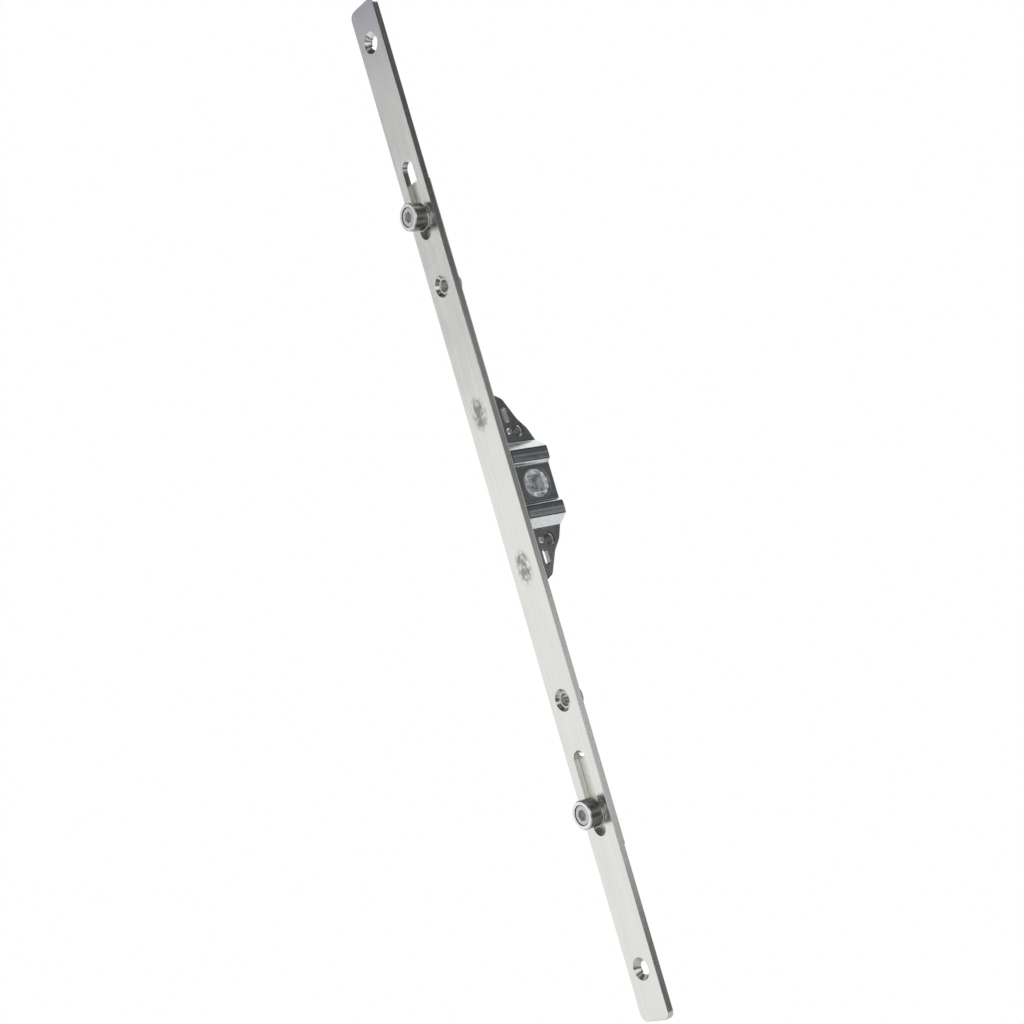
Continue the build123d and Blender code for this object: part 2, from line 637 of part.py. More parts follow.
pieces = {
    "faceplate": faceplate,
    "near_shell": near_shell,
    "far_shell": far_shell,
    "case_rivets": case_rivets,
    "detent_spring": detent_spring,
    "spindle_follower": spindle_follower,
    "drive_rail": drive_rail,
}
for name, end in ENDS.items():
    stud_height = STUD_HEIGHTS[name]
    pieces[f"{name}_handle_bush"] = handle_bush(end * HANDLE_SCREW_PITCH / 2)
    pieces[f"{name}_rail_guide"] = rail_guide(end * MIDDLE_SCREW_PITCH / 2)
    pieces[f"{name}_cam_stud"] = cam_stud(stud_height)
    pieces[f"{name}_cam_roller"] = cam_roller(stud_height)
    pieces[f"{name}_slide_washer"] = ring(
        stud_height, washer_front, SLIDE_WASHER_THICKNESS,
        SLIDE_WASHER_DIAMETER, STUD_NECK_DIAMETER)
    pieces[f"{name}_stud_spring_washer"] = ring(
        stud_height, RAIL_BACK, SPRING_WASHER_THICKNESS,
        SPRING_WASHER_DIAMETER, STUD_JOURNAL_DIAMETER + 2 * STUD_CLEARANCE)

for name, piece in pieces.items():
    piece.part.label = name
    export_step(piece.part, f"parts/{name}.step")
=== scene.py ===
# %% [markdown]
# # Espagnolette lock: dressing the CAD model
# The lock is a flat faceplate of zinc-plated steel with a pressed gear case behind it, a
# sliding rail, and two roller cams. The CAD model already has every solid at its real size.
# Here it gets a camera, soft studio light, finishes made of shader nodes, and the small marks
# that tools leave on metal.

# %% Load the fixed frame
import json
import math

import bpy
from mathutils import Matrix, Vector


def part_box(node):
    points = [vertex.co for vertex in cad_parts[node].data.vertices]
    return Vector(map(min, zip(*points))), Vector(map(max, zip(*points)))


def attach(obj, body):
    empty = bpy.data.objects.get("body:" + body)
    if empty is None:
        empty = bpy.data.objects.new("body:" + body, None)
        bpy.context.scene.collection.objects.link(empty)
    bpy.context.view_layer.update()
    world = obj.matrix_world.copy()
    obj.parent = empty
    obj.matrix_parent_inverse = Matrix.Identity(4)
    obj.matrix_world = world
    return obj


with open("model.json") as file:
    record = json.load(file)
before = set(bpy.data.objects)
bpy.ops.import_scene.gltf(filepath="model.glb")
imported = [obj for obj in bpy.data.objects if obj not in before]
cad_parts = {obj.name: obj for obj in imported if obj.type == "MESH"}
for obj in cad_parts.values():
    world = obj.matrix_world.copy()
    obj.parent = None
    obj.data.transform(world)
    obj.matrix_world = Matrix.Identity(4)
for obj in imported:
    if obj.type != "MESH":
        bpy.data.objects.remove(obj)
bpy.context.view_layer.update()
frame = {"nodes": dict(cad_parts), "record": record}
nodes = frame["nodes"]

# %% [markdown]
# ## Camera
# The camera stands in front of the near edge of the faceplate, a little below its middle, and
# is rolled so that the plate leans with its top to the left. Its place and its three
# directions were fitted to the corners and holes of the photographed plate. The lock could
# have been turned instead, but it has to stay in its frame, so the directions are written
# down and become the columns of the camera's matrix.

# %% Camera
CAMERA_PLACE = Vector((-0.4444, -0.5404, -0.1006))
CAMERA_RIGHT = Vector((0.7732, -0.5700, -0.2778))
CAMERA_DOWN = Vector((-0.1402, 0.2735, -0.9516))
CAMERA_AHEAD = Vector((0.6184, 0.7748, 0.1316))
FOCAL_LENGTH_MM = 65.95
SENSOR_WIDTH_MM = 36.0
NEAREST_SIGHT = 0.01
camera_data = bpy.data.cameras.new("camera")
camera_data.lens = FOCAL_LENGTH_MM
camera_data.sensor_width = SENSOR_WIDTH_MM
camera_data.clip_start = NEAREST_SIGHT
camera = bpy.data.objects.new("camera", camera_data)
turn = Matrix((CAMERA_RIGHT, -CAMERA_DOWN, -CAMERA_AHEAD)).transposed()
camera.matrix_world = Matrix.Translation(CAMERA_PLACE) @ turn.to_4x4()
bpy.context.collection.objects.link(camera)
bpy.context.scene.camera = camera
bpy.context.scene.view_settings.view_transform = "Standard"
print("camera looks along", [round(v, 3) for v in CAMERA_AHEAD])

# %% [markdown]
# ## Light
# Plated steel shows its surroundings more than its own colour. A photographer therefore lights
# it with large white surfaces and hides a few dark ones among them. Here the white comes from
# the world: plain white where the camera or a mirror ray looks, and about half as strong as
# light.


# %% Node helper
def put(tree, kind, **values):
    """New node with some settings."""
    node = tree.nodes.new(kind)
    for name, value in values.items():
        setattr(node, name, value)
    return node


# %% World
AMBIENT_COLOUR = (0.95, 0.97, 1.0, 1.0)
AMBIENT_STRENGTH = 0.55
world = bpy.data.worlds.new("studio")
bpy.context.scene.world = world
world.use_nodes = True
sky = world.node_tree
sky.nodes.clear()
sky_out = put(sky, "ShaderNodeOutputWorld")
sky_mix = put(sky, "ShaderNodeMixShader")
sky_soft = put(sky, "ShaderNodeBackground")
sky_white = put(sky, "ShaderNodeBackground")
sky_path = put(sky, "ShaderNodeLightPath")
sky_seen_or_mirrored = put(sky, "ShaderNodeMath", operation="MAXIMUM")
sky_seen_any_way = put(sky, "ShaderNodeMath", operation="MAXIMUM")
sky_soft.inputs["Color"].default_value = AMBIENT_COLOUR
sky_soft.inputs["Strength"].default_value = AMBIENT_STRENGTH
sky_white.inputs["Color"].default_value = (1.0, 1.0, 1.0, 1.0)
sky_white.inputs["Strength"].default_value = 1.0
sky.links.new(sky_path.outputs["Is Camera Ray"], sky_seen_or_mirrored.inputs[0])
sky.links.new(sky_path.outputs["Is Glossy Ray"], sky_seen_or_mirrored.inputs[1])
sky.links.new(sky_seen_or_mirrored.outputs[0], sky_seen_any_way.inputs[0])
sky.links.new(sky_path.outputs["Is Transmission Ray"], sky_seen_any_way.inputs[1])
sky.links.new(sky_seen_any_way.outputs[0], sky_mix.inputs["Fac"])
sky.links.new(sky_soft.outputs[0], sky_mix.inputs[1])
sky.links.new(sky_white.outputs[0], sky_mix.inputs[2])
sky.links.new(sky_mix.outputs[0], sky_out.inputs["Surface"])
print("world nodes", len(sky.nodes))

# %% [markdown]
# ## Lamps
# A large lamp above and one below give the soft light and the faint shadows. Two small ones
# stand where the slanted flanks of the case's ribs mirror them, because those flanks are the
# brightest places on the real lock. Sun lamps would be simpler, but their shadows are hard.


# %% Lamps
def aim(place):
    """Matrix at a place whose -Z looks at the middle of the lock."""
    look = (-Vector(place)).to_track_quat("-Z", "Y")
    return Matrix.Translation(Vector(place)) @ look.to_matrix().to_4x4()


def soft_lamp(name, place, width, watts):
    """Square area lamp that looks at the middle of the lock."""
    data = bpy.data.lights.new(name, "AREA")
    data.shape = "SQUARE"
    data.size = width
    data.energy = watts
    lamp = bpy.data.objects.new(name, data)
    lamp.matrix_world = aim(place)
    bpy.context.collection.objects.link(lamp)


soft_lamp("top_lamp", (0.20, -0.50, 0.95), width=0.7, watts=6)
soft_lamp("low_lamp", (-0.10, -0.45, -0.92), width=0.6, watts=6)
soft_lamp("upper_slope_lamp", (0.56, 0.16, 0.69), width=0.4, watts=0.65)
soft_lamp("lower_slope_lamp", (0.52, -0.08, -0.66), width=0.4, watts=0.65)
print("lamps", len(bpy.data.lights))

# %% [markdown]
# ## Cards
# Grey cards give the flat faces their tone. Each place is found by mirroring the camera's view
# in a face and following it outwards: the cards on the right are what the flat side of the
# case and the edge of the faceplate mirror, and those on the left are what the upper half of
# the faceplate mirrors, so the plate grows darker towards its top. The dark ones are what the
# walls of the countersinks, the slots and the narrow chamfer of the plate mirror. Each row is
# a name, a place, a width, a height and a grey. The tone could be painted on the metal, but
# then it would stay put when the lock is turned.

# %% Cards
CARDS = (
    ("right_card", (0.55, -0.72, 0.13), 0.95, 0.18, 0.26),
    ("upper_right_card", (0.55, -0.72, 0.265), 0.95, 0.09, 0.44),
    ("high_right_card", (0.55, -0.72, 0.62), 0.95, 0.64, 0.085),
    ("middle_right_card", (0.55, -0.72, -0.08), 0.95, 0.22, 0.80),
    ("low_right_card", (0.55, -0.72, -0.45), 0.95, 0.52, 0.18),
    ("high_left_card", (-0.50, 0.66, 0.92), 0.90, 0.80, 0.34),
    ("left_card", (-0.51, 0.65, 0.38), 0.08, 0.36, 0.45),
    ("chamfer_card", (-0.66, -0.47, 0.50), 0.60, 0.60, 0.06),
    ("ceiling_card", (-0.42, 0.05, 0.85), 0.75, 0.75, 0.04),
    ("back_ceiling_card", (0.13, 0.80, 0.72), 0.60, 0.60, 0.04),
    ("back_ground_card", (-0.14, 0.80, -0.66), 0.60, 0.60, 0.04),
    ("ground_card", (-0.60, 0.02, -0.82), 0.75, 0.75, 0.04),
    ("front_ground_card", (-0.80, -0.50, -0.40), 0.50, 0.50, 0.04),
    ("slot_end_card", (0.19, 0.04, -0.12), 0.32, 0.12, 0.04),
)
BLUE_FACTORS = {"high_left_card": 1.6}
CARD_ROUGHNESS = 0.9


def deselect_all():
    """Leave nothing selected."""
    bpy.ops.object.select_all(action="DESELECT")


def paint(piece, colour, roughness):
    """Plain matt paint for what only stands round the lock."""
    made = bpy.data.materials.new(f"{piece.name}_paint")
    made.use_nodes = True
    surface = made.node_tree.nodes["Principled BSDF"]
    surface.inputs["Base Color"].default_value = (*colour, 1)
    surface.inputs["Roughness"].default_value = roughness
    piece.data.materials.append(made)


for name, place, width, height, grey in CARDS:
    deselect_all()
    bpy.ops.mesh.primitive_plane_add(size=1)
    card = bpy.context.object
    card.name = name
    card.matrix_world = aim(place) @ Matrix.Diagonal((width, height, 1, 1))
    card.visible_camera = False
    paint(card, (grey, grey, grey * BLUE_FACTORS.get(name, 1.0)), CARD_ROUGHNESS)
print("cards", len(CARDS))

# %% [markdown]
# ## Floor
# The floor is a plain pale square below the lock. A curved backdrop is the usual way, but this
# camera looks slightly up, and a small floor stays out of its picture, whose ground is the
# plain white of the world.

# %% Floor
FLOOR_WIDTH = 0.4
FLOOR_HEIGHT = -0.30
FLOOR_COLOUR = (0.90, 0.90, 0.89)
FLOOR_ROUGHNESS = 0.8
deselect_all()
bpy.ops.mesh.primitive_plane_add(size=FLOOR_WIDTH, location=(0, 0, FLOOR_HEIGHT))
floor = bpy.context.object
floor.name = "floor"
paint(floor, FLOOR_COLOUR, FLOOR_ROUGHNESS)
print("floor", FLOOR_WIDTH, "wide at", FLOOR_HEIGHT)

# %% [markdown]
# ## Shared effects
# Five effects come back on several metals. Each is built once as a node group and placed in
# every material with its own numbers. One long list of nodes in each material would look the
# same, but a correction would then have to be made in each of them.


# %% Group helper
def group_tree(name, **inputs):
    """Shader group with float inputs and one mask as its output."""
    tree = bpy.data.node_groups.new(name, "ShaderNodeTree")
    for socket, value in inputs.items():
        made = tree.interface.new_socket(socket, in_out="INPUT", socket_type="NodeSocketFloat")
        made.default_value = value
    tree.interface.new_socket("Mask", in_out="OUTPUT", socket_type="NodeSocketFloat")
    return tree, put(tree, "NodeGroupInput"), put(tree, "NodeGroupOutput")


# %% [markdown]
# ### Lengthwise grain
# Strip steel is rolled and then brushed along its length, so its finest marks are long streaks.
# A picture of brushed steel would need unwrapped parts, and noise doesn't: it is stretched
# along Z here, with a Stretch of 1 for metal that has no direction.

# %% Lengthwise grain
grain_tree, grain_in, grain_end = group_tree("lengthwise_grain", Fineness=900.0, Stretch=0.03)
grain_place = put(grain_tree, "ShaderNodeTexCoord")
grain_scale = put(grain_tree, "ShaderNodeCombineXYZ")
grain_scale.inputs["X"].default_value = 1.0
grain_scale.inputs["Y"].default_value = 1.0
grain_stretch = put(grain_tree, "ShaderNodeVectorMath", operation="MULTIPLY")
grain_noise = put(grain_tree, "ShaderNodeTexNoise")
grain_noise.inputs["Detail"].default_value = 4.0
grain_noise.inputs["Roughness"].default_value = 0.65
grain_band = put(grain_tree, "ShaderNodeMapRange")
grain_band.inputs["From Min"].default_value = 0.30
grain_band.inputs["From Max"].default_value = 0.70
link = grain_tree.links.new
link(grain_in.outputs["Stretch"], grain_scale.inputs["Z"])
link(grain_place.outputs["Object"], grain_stretch.inputs[0])
link(grain_scale.outputs[0], grain_stretch.inputs[1])
link(grain_stretch.outputs[0], grain_noise.inputs["Vector"])
link(grain_in.outputs["Fineness"], grain_noise.inputs["Scale"])
link(grain_noise.outputs["Fac"], grain_band.inputs["Value"])
link(grain_band.outputs[0], grain_end.inputs["Mask"])
print(grain_tree.name, len(grain_tree.nodes))

# %% [markdown]
# ### Plating cloud
# Zinc plating is never quite even. Soft patches from noise, with a contrast about the middle
# grey, make the colour and the roughness drift.

# %% Plating cloud
cloud_tree, cloud_in, cloud_end = group_tree("plating_cloud", Size=60.0, Contrast=1.0)
cloud_place = put(cloud_tree, "ShaderNodeTexCoord")
cloud_noise = put(cloud_tree, "ShaderNodeTexNoise")
cloud_noise.inputs["Detail"].default_value = 5.0
cloud_noise.inputs["Roughness"].default_value = 0.55
cloud_shift = put(cloud_tree, "ShaderNodeMath", operation="SUBTRACT")
cloud_shift.inputs[1].default_value = 0.5
cloud_gain = put(cloud_tree, "ShaderNodeMath", operation="MULTIPLY")
cloud_back = put(cloud_tree, "ShaderNodeMath", operation="ADD", use_clamp=True)
cloud_back.inputs[1].default_value = 0.5
link = cloud_tree.links.new
link(cloud_place.outputs["Object"], cloud_noise.inputs["Vector"])
link(cloud_in.outputs["Size"], cloud_noise.inputs["Scale"])
link(cloud_noise.outputs["Fac"], cloud_shift.inputs[0])
link(cloud_shift.outputs[0], cloud_gain.inputs[0])
link(cloud_in.outputs["Contrast"], cloud_gain.inputs[1])
link(cloud_gain.outputs[0], cloud_back.inputs[0])
link(cloud_back.outputs[0], cloud_end.inputs["Mask"])
print(cloud_tree.name, len(cloud_tree.nodes))

# %% [markdown]
# ### Worn edges
# Plating wears thin on edges, which turn bright. Pointiness would find edges too, but it
# depends on how fine the mesh is. The Bevel node rounds the normal near an edge, and where it
# leaves the true normal there is an edge. Noise breaks the line up.

# %% Worn edges
wear_tree, wear_in, wear_end = group_tree("worn_edges", Width=0.0003, Breakup=500.0)
wear_round = put(wear_tree, "ShaderNodeBevel", samples=4)
wear_face = put(wear_tree, "ShaderNodeNewGeometry")
wear_dot = put(wear_tree, "ShaderNodeVectorMath", operation="DOT_PRODUCT")
wear_band = put(wear_tree, "ShaderNodeMapRange")
wear_band.inputs["From Min"].default_value = 0.985
wear_band.inputs["From Max"].default_value = 0.80
wear_place = put(wear_tree, "ShaderNodeTexCoord")
wear_noise = put(wear_tree, "ShaderNodeTexNoise")
wear_times = put(wear_tree, "ShaderNodeMath", operation="MULTIPLY", use_clamp=True)
wear_chips = put(wear_tree, "ShaderNodeMapRange")
wear_chips.inputs["From Min"].default_value = 0.35
wear_chips.inputs["From Max"].default_value = 0.65
link = wear_tree.links.new
link(wear_in.outputs["Width"], wear_round.inputs["Radius"])
link(wear_round.outputs[0], wear_dot.inputs[0])
link(wear_face.outputs["Normal"], wear_dot.inputs[1])
link(wear_dot.outputs["Value"], wear_band.inputs["Value"])
link(wear_place.outputs["Object"], wear_noise.inputs["Vector"])
link(wear_in.outputs["Breakup"], wear_noise.inputs["Scale"])
link(wear_noise.outputs["Fac"], wear_chips.inputs["Value"])
link(wear_band.outputs[0], wear_times.inputs[0])
link(wear_chips.outputs[0], wear_times.inputs[1])
link(wear_times.outputs[0], wear_end.inputs["Mask"])
print(wear_tree.name, len(wear_tree.nodes))

# %% [markdown]
# ### Painted shade in recesses
# The Ambient Occlusion node measures how open a place is, here within the part itself and only
# about a millimetre far, so broad hollows stay bright. Closed places turn to a grey given for
# each metal: painted shade, and a lighter painted tone on the follower and the studs.

# %% Painted shade in recesses
recess_shade_tree, recess_shade_in, recess_shade_end = group_tree(
    "painted_recess_shade", Reach=0.0012, Open=0.75, Closed=0.25)
recess_shade_sight = put(recess_shade_tree, "ShaderNodeAmbientOcclusion", samples=8, only_local=True)
recess_shade_band = put(recess_shade_tree, "ShaderNodeMapRange")
link = recess_shade_tree.links.new
link(recess_shade_in.outputs["Reach"], recess_shade_sight.inputs["Distance"])
link(recess_shade_sight.outputs["AO"], recess_shade_band.inputs["Value"])
link(recess_shade_in.outputs["Open"], recess_shade_band.inputs["From Min"])
link(recess_shade_in.outputs["Closed"], recess_shade_band.inputs["From Max"])
link(recess_shade_band.outputs[0], recess_shade_end.inputs["Mask"])
print(recess_shade_tree.name, len(recess_shade_tree.nodes))

# %% [markdown]
# ### Soft mottle
# Struck, cast and bare places are blotchy at about a millimetre. The same noise serves all of
# them, cut between two levels: the nearer the levels, the harder the blotches.

# %% Soft mottle
mottle_tree, mottle_in, mottle_end = group_tree(
    "soft_mottle", Fineness=420.0, Low=0.36, High=0.50)
mottle_place = put(mottle_tree, "ShaderNodeTexCoord")
mottle_noise = put(mottle_tree, "ShaderNodeTexNoise")
mottle_noise.inputs["Detail"].default_value = 4.0
mottle_band = put(mottle_tree, "ShaderNodeMapRange")
link = mottle_tree.links.new
link(mottle_place.outputs["Object"], mottle_noise.inputs["Vector"])
link(mottle_in.outputs["Fineness"], mottle_noise.inputs["Scale"])
link(mottle_noise.outputs["Fac"], mottle_band.inputs["Value"])
link(mottle_in.outputs["Low"], mottle_band.inputs["From Min"])
link(mottle_in.outputs["High"], mottle_band.inputs["From Max"])
link(mottle_band.outputs[0], mottle_end.inputs["Mask"])
print(mottle_tree.name, len(mottle_tree.nodes))

# %% [markdown]
# ## Metals
# All finishes are plated or bare metal, so one recipe serves each, with its own numbers: a
# base colour that drifts between two tints with grain and cloud, a third tint on worn edges, a
# grey painted into recesses as shade, a roughness that drifts between two values, and a low
# bump from the grain. The CAD nodes take their finish by the material slot that the record
# names.


# %% Metal recipe
BUMP_DISTANCE = 0.0002


def metal(name, dark, light, edge, rough, fineness=900.0, stretch=0.03, cloud=60.0,
          contrast=1.6, bump=0.05, metallic=1.0, painted_recess_tone=0.12):
    """Plated or bare metal; rough is the lowest and highest roughness."""
    made = bpy.data.materials.new(name)
    made.use_nodes = True
    tree = made.node_tree
    surface = tree.nodes["Principled BSDF"]
    surface.inputs["Metallic"].default_value = metallic
    grain = put(tree, "ShaderNodeGroup", node_tree=grain_tree)
    grain.inputs["Fineness"].default_value = fineness
    grain.inputs["Stretch"].default_value = stretch
    patches = put(tree, "ShaderNodeGroup", node_tree=cloud_tree)
    patches.inputs["Size"].default_value = cloud
    patches.inputs["Contrast"].default_value = contrast
    edges = put(tree, "ShaderNodeGroup", node_tree=wear_tree)
    # Painted shade: closed places turn to a set grey, lighter on the follower and the studs.
    recess_shade = put(tree, "ShaderNodeGroup", node_tree=recess_shade_tree)
    drift_sum = put(tree, "ShaderNodeMath", operation="ADD")
    drift = put(tree, "ShaderNodeMath", operation="MULTIPLY")
    drift.inputs[1].default_value = 0.5
    tint = put(tree, "ShaderNodeMix", data_type="RGBA")
    tint.inputs["A"].default_value = (*dark, 1)
    tint.inputs["B"].default_value = (*light, 1)
    rubbed = put(tree, "ShaderNodeMix", data_type="RGBA")
    rubbed.inputs["B"].default_value = (*edge, 1)
    recess_shaded = put(tree, "ShaderNodeMix", data_type="RGBA")
    recess_shaded.inputs["B"].default_value = (painted_recess_tone, painted_recess_tone, painted_recess_tone, 1)
    dullness = put(tree, "ShaderNodeMapRange")
    dullness.inputs["To Min"].default_value = rough[0]
    dullness.inputs["To Max"].default_value = rough[1]
    relief = put(tree, "ShaderNodeBump")
    relief.inputs["Strength"].default_value = bump
    relief.inputs["Distance"].default_value = BUMP_DISTANCE
    join = tree.links.new
    join(grain.outputs["Mask"], drift_sum.inputs[0])
    join(patches.outputs["Mask"], drift_sum.inputs[1])
    join(drift_sum.outputs[0], drift.inputs[0])
    join(drift.outputs[0], tint.inputs["Factor"])
    join(tint.outputs["Result"], rubbed.inputs["A"])
    join(edges.outputs["Mask"], rubbed.inputs["Factor"])
    join(rubbed.outputs["Result"], recess_shaded.inputs["A"])
    join(recess_shade.outputs["Mask"], recess_shaded.inputs["Factor"])
    join(recess_shaded.outputs["Result"], surface.inputs["Base Color"])
    join(drift.outputs[0], dullness.inputs["Value"])
    join(dullness.outputs[0], surface.inputs["Roughness"])
    join(grain.outputs["Mask"], relief.inputs["Height"])
    join(relief.outputs["Normal"], surface.inputs["Normal"])
    return made


# %% Finishes of the lock
finishes = {
    "faceplate_zinc": metal("faceplate_zinc", (0.68, 0.68, 0.655), (0.80, 0.80, 0.775),
                            (0.78, 0.78, 0.77), (0.17, 0.27), contrast=1.2, bump=0.10,
                            painted_recess_tone=0.30),
    "case_steel": metal("case_steel", (0.25, 0.26, 0.265), (0.37, 0.38, 0.385),
                        (0.52, 0.52, 0.52), (0.16, 0.25), fineness=500.0, stretch=1.0,
                        cloud=120.0, bump=0.06),
    "rail_steel": metal("rail_steel", (0.76, 0.76, 0.70), (0.88, 0.88, 0.82),
                        (0.86, 0.86, 0.82), (0.30, 0.42), painted_recess_tone=0.40),
    "follower_zinc": metal("follower_zinc", (0.16, 0.18, 0.18), (0.94, 0.97, 1.0),
                           (0.90, 0.91, 0.92), (0.38, 0.60), fineness=500.0, stretch=1.0,
                           cloud=420.0, contrast=5.0, bump=0.6, metallic=0.5,
                           painted_recess_tone=0.80),
    # The dark tone of the rollers is painted shade on their sides; their ends get painted
    # light.
    "roller_steel": metal("roller_steel", (0.20, 0.20, 0.19), (0.30, 0.30, 0.29),
                          (0.45, 0.45, 0.45), (0.22, 0.34), fineness=700.0, stretch=1.0),
    "stud_steel": metal("stud_steel", (0.62, 0.62, 0.61), (0.76, 0.76, 0.75),
                        (0.80, 0.80, 0.80), (0.30, 0.42), metallic=0.6, painted_recess_tone=1.0),
    "washer_steel": metal("washer_steel", (0.55, 0.55, 0.53), (0.68, 0.68, 0.66),
                          (0.75, 0.75, 0.75), (0.28, 0.40)),
    "bush_zinc": metal("bush_zinc", (0.34, 0.34, 0.33), (0.46, 0.46, 0.45),
                       (0.60, 0.60, 0.60), (0.28, 0.40)),
    "guide_steel": metal("guide_steel", (0.50, 0.50, 0.49), (0.62, 0.62, 0.61),
                         (0.65, 0.65, 0.65), (0.30, 0.42), painted_recess_tone=0.35),
    "rivet_steel": metal("rivet_steel", (0.42, 0.42, 0.41), (0.58, 0.58, 0.57),
                         (0.75, 0.75, 0.75), (0.25, 0.38), fineness=700.0, stretch=1.0),
    "spring_steel": metal("spring_steel", (0.16, 0.17, 0.20), (0.26, 0.27, 0.31),
                          (0.50, 0.50, 0.52), (0.25, 0.40)),
}
for part in frame["record"]["subparts"]:
    cad = nodes[part["node"]]
    finish = finishes[part["material_slot"]]
    if not cad.material_slots:
        cad.data.materials.append(finish)
    for slot in cad.material_slots:
        slot.material = finish

# %% [markdown]
# ## Local tones
# Some places of a part get a tone of their own, such as painted light or shade on a face, or a
# mark that a tool struck. They could be split off as pieces with a material of their own, but
# the metal is one. A mask made of the part's own coordinates, or of the way a face looks, lays
# the tone over the finish instead, and stays on the part when it moves.


# %% Tone helpers
def overlay(finish, tone, mask):
    """Lay a tone over the base colour of a finish where the mask is 1."""
    tree = finish.node_tree
    surface = tree.nodes["Principled BSDF"]
    under = surface.inputs["Base Color"].links[0].from_socket
    mix = put(tree, "ShaderNodeMix", data_type="RGBA")
    mix.inputs["B"].default_value = (*tone, 1)
    tree.links.new(mask, mix.inputs["Factor"])
    tree.links.new(under, mix.inputs["A"])
    tree.links.new(mix.outputs["Result"], surface.inputs["Base Color"])


def compute(tree, operation, *values):
    """Math node fed by sockets or numbers; returns its output."""
    node = put(tree, "ShaderNodeMath", operation=operation)
    for socket, value in zip(node.inputs, values):
        if isinstance(value, bpy.types.NodeSocket):
            tree.links.new(value, socket)
        else:
            socket.default_value = value
    return node.outputs[0]


def band(tree, value, low, high):
    """0 at low, 1 at high, clamped outside."""
    node = put(tree, "ShaderNodeMapRange")
    node.inputs["From Min"].default_value = low
    node.inputs["From Max"].default_value = high
    tree.links.new(value, node.inputs["Value"])
    return node.outputs[0]


def axes(tree, source, output):
    """X, Y and Z of a vector output of a new node."""
    node = put(tree, source)
    parts = put(tree, "ShaderNodeSeparateXYZ")
    tree.links.new(node.outputs[output], parts.inputs[0])
    return parts.outputs


def mottle(tree, fineness, low, high):
    """Mask of the shared mottle with its own numbers."""
    node = put(tree, "ShaderNodeGroup", node_tree=mottle_tree)
    node.inputs["Fineness"].default_value = fineness
    node.inputs["Low"].default_value = low
    node.inputs["High"].default_value = high
    return node.outputs["Mask"]


# %% [markdown]
# ### Painted light and shade on the rollers
# The rollers are given a dark tone, painted shade on their sides, and their ends a light one,
# painted light. The ends are the faces whose true normal points along X.

# %% Painted light and shade on the rollers
END_FACE_NORMAL = 0.6
LIT_END_TONE = (0.78, 0.78, 0.79)
roller_tree = finishes["roller_steel"].node_tree
roller_facing = axes(roller_tree, "ShaderNodeNewGeometry", "True Normal")
lit_ends = compute(roller_tree, "GREATER_THAN",
                 compute(roller_tree, "ABSOLUTE", roller_facing["X"]), END_FACE_NORMAL)
overlay(finishes["roller_steel"], LIT_END_TONE, lit_ends)
print("nodes in the roller finish", len(roller_tree.nodes))

# %% [markdown]
# ### Painted highlights on the crowns and painted light inside the case
# The two ribs are the highest places of the case, and a thin light line along each is a painted
# highlight. The line is where the height along Z is that of a crown. The inner face of the far
# half, which shows through the upper tongue slot, gets a light tone, painted light. It is found
# by its place at the middle plane and by its normal.

# %% Painted highlights on the crowns and painted light inside the case
CROWN_HEIGHT = 0.0108
CROWN_TOP = -0.0045
CROWN_LINE = 0.00025
CROWN_HIGHLIGHT_TONE = (0.62, 0.63, 0.64)
MIDDLE_PLANE = 0.0003
INWARD_NORMAL = -0.9
INSIDE_LIGHT_TONE = (0.80, 0.81, 0.81)
case = finishes["case_steel"]
case_tree = case.node_tree
case_place = axes(case_tree, "ShaderNodeTexCoord", "Object")
case_facing = axes(case_tree, "ShaderNodeNewGeometry", "True Normal")
off_crown = compute(case_tree, "SUBTRACT",
                    compute(case_tree, "ABSOLUTE", case_place["Z"]), CROWN_HEIGHT)
crown_highlight = band(case_tree, compute(case_tree, "ABSOLUTE", off_crown),
            2 * CROWN_LINE, CROWN_LINE)
raised = compute(case_tree, "LESS_THAN", case_place["Y"], CROWN_TOP)
# Painted highlight along each crown.
overlay(case, CROWN_HIGHLIGHT_TONE, compute(case_tree, "MULTIPLY", raised, crown_highlight))
middle = compute(case_tree, "LESS_THAN",
                 compute(case_tree, "ABSOLUTE", case_place["Y"]), MIDDLE_PLANE)
forward = compute(case_tree, "LESS_THAN", case_facing["Y"], INWARD_NORMAL)
# Painted light on the inner face of the far half.
overlay(case, INSIDE_LIGHT_TONE, compute(case_tree, "MULTIPLY", middle, forward))
print("nodes in the case finish", len(case_tree.nodes))

# %% [markdown]
# ### Bore of the follower
# The follower is a blotchy zinc casting. Its square hole is the same metal, only less lit, and
# with one tint it would turn out too dark. The walls get a lighter mottled tone instead of more
# light, which would change everything else too.

# %% Bore of the follower
BORE_REACH = 0.00356
BORE_TONE = (0.86, 0.87, 0.88)
follower = finishes["follower_zinc"]
follower_tree = follower.node_tree
follower_place = axes(follower_tree, "ShaderNodeTexCoord", "Object")
bore_off = [compute(follower_tree, "ABSOLUTE", follower_place[axis]) for axis in "XZ"]
inside = compute(follower_tree, "LESS_THAN",
                 compute(follower_tree, "MAXIMUM", *bore_off), BORE_REACH)
bore_blotches = mottle(follower_tree, fineness=420.0, low=0.36, high=0.50)
overlay(follower, BORE_TONE, compute(follower_tree, "MULTIPLY", inside, bore_blotches))
print("nodes in the follower finish", len(follower_tree.nodes))

# %% [markdown]
# ### Struck stakes and their bruises
# The case hangs in the faceplate by two tenons whose ends are struck flat. The blow leaves
# mottled metal on the tenon, and a soft dark bruise in the plate round it. A plane across X
# picks the struck ends. An oval round each stake picks the bruise, which is full within 0.6 of
# the oval's squared radius and gone at 1.5 of it.

